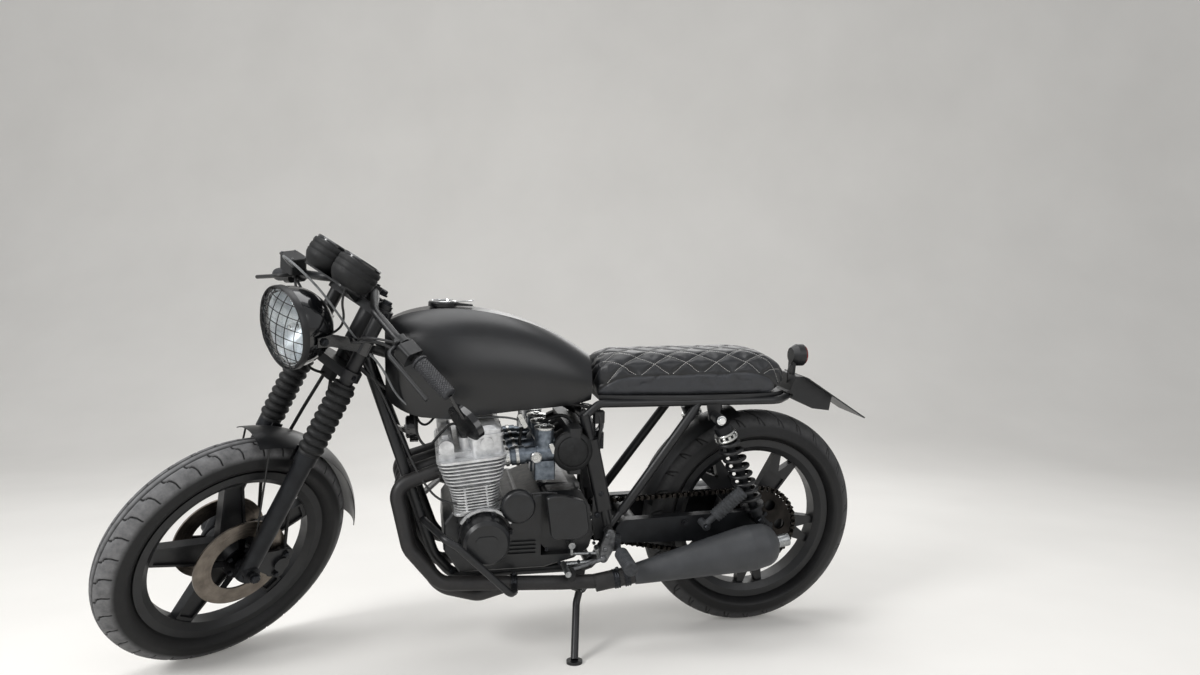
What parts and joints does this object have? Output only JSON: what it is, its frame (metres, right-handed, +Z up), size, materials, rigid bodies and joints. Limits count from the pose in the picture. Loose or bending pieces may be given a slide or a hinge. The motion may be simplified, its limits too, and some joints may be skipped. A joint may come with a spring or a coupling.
{
  "type": "cafe racer motorcycle",
  "caption": "Cafe racer motorcycle with a bare finned four-stroke engine, flat quilted seat and grilled head lamp, parked leaning on its side stand.",
  "frame": {"origin": "on the ground, under the middle of the parked motorcycle's bounding box", "axes": "+X towards the front wheel, +Y towards the motorcycle's left side, which it leans to, +Z up"},
  "size_m": [2.034, 0.7112, 1.1002],
  "materials": {
    "frame": "satin black",
    "rear_frame": "satin black",
    "swing_arm": "satin",
    "rear_shocks": "satin",
    "shock_springs": "gloss dark",
    "drive_chain": "oiled",
    "rear_mudguard": "matt",
    "crankcase": "matt black painted",
    "engine_covers": "matt black painted",
    "cylinder_block": "cast",
    "cylinder_head": "cast",
    "cam_cover": "cast",
    "carburettors": "cast",
    "air_box": "matt",
    "exhaust_headers": "matt black heat paint",
    "mufflers": "matt dark grey",
    "fuel_tank": "satin black",
    "seat": "black, white diamond stitching",
    "footrests": "satin",
    "foot_controls": "satin",
    "tail_light": "polished",
    "tail_lens": "clear red",
    "plate_bracket": "matt",
    "horn": "gloss black",
    "fuel_tap": "cast",
    "fork_yokes": "satin black",
    "fork_sliders": "satin black",
    "fork_gaiters": "ribbed",
    "front_mudguard": "satin black",
    "brake_calipers": "black anodised",
    "headlight_shell": "satin black",
    "headlight_lens": "clear",
    "headlight_grille": "satin black",
    "gauges": "satin black",
    "handlebar": "satin black",
    "grips": "ribbed",
    "bar_controls": "matt black",
    "bar_end_mirror": "gloss black",
    "brake_hoses": "matt",
    "front_tyre": "block tread",
    "front_wheel": "satin black",
    "brake_discs": "ground, brown patina",
    "rear_tyre": "block tread",
    "rear_wheel": "satin black",
    "rear_sprocket": "oiled",
    "side_stand": "satin black",
    "fuel_cap": "polished"
  },
  "bodies": {
    "chassis": {"frame": "frame", "rear_frame": "rear_frame", "swing_arm": "swing_arm", "rear_shocks": "rear_shocks", "shock_springs": "shock_springs", "drive_chain": "drive_chain", "rear_mudguard": "rear_mudguard", "crankcase": "crankcase", "engine_covers": "engine_covers", "cylinder_block": "cylinder_block", "cylinder_head": "cylinder_head", "cam_cover": "cam_cover", "carburettors": "carburettors", "air_box": "air_box", "exhaust_headers": "exhaust_headers", "mufflers": "mufflers", "fuel_tank": "fuel_tank", "seat": "seat", "footrests": "footrests", "foot_controls": "foot_controls", "tail_light": "tail_light", "tail_lens": "tail_lens", "plate_bracket": "plate_bracket", "horn": "horn", "fuel_tap": "fuel_tap"},
    "steering": {"fork_yokes": "fork_yokes", "fork_sliders": "fork_sliders", "fork_gaiters": "fork_gaiters", "front_mudguard": "front_mudguard", "brake_calipers": "brake_calipers", "headlight_shell": "headlight_shell", "headlight_lens": "headlight_lens", "headlight_grille": "headlight_grille", "gauges": "gauges", "handlebar": "handlebar", "grips": "grips", "bar_controls": "bar_controls", "bar_end_mirror": "bar_end_mirror", "brake_hoses": "brake_hoses"},
    "front_wheel": {"front_tyre": "front_tyre", "front_wheel": "front_wheel", "brake_discs": "brake_discs"},
    "rear_wheel": {"rear_tyre": "rear_tyre", "rear_wheel": "rear_wheel", "rear_sprocket": "rear_sprocket"},
    "side_stand": {"side_stand": "side_stand"},
    "fuel_cap": {"fuel_cap": "fuel_cap"}
  },
  "joints": [
    {"name": "steering", "type": "hinge", "parent": "chassis", "child": "steering", "pos_m": [0.54983, -0.00867, 0.60621], "axis": [-0.4552, 0.1234, 0.8818], "range_deg": [-82, 0]},
    {"name": "front_wheel_spin", "type": "hinge", "parent": "steering", "child": "front_wheel", "pos_m": [0.74723, -0.01956, 0.29888], "axis": [-0.5849, 0.7052, -0.4007], "continuous": true},
    {"name": "rear_wheel_spin", "type": "hinge", "parent": "chassis", "child": "rear_wheel", "pos_m": [-0.69209, -0.04985, 0.32241], "axis": [-0.001, 0.9903, -0.1392], "continuous": true},
    {"name": "side_stand_fold", "type": "hinge", "parent": "chassis", "child": "side_stand", "pos_m": [-0.1582, 0.06588, 0.1719], "axis": [-0.3463, 0.9339, 0.089], "range_deg": [0, 105.3]},
    {"name": "fuel_cap_hinge", "type": "hinge", "parent": "chassis", "child": "fuel_cap", "pos_m": [0.25051, 0.03755, 0.93731], "axis": [-0.001, 0.9903, -0.1392], "range_deg": [0, 75]}
  ]
}
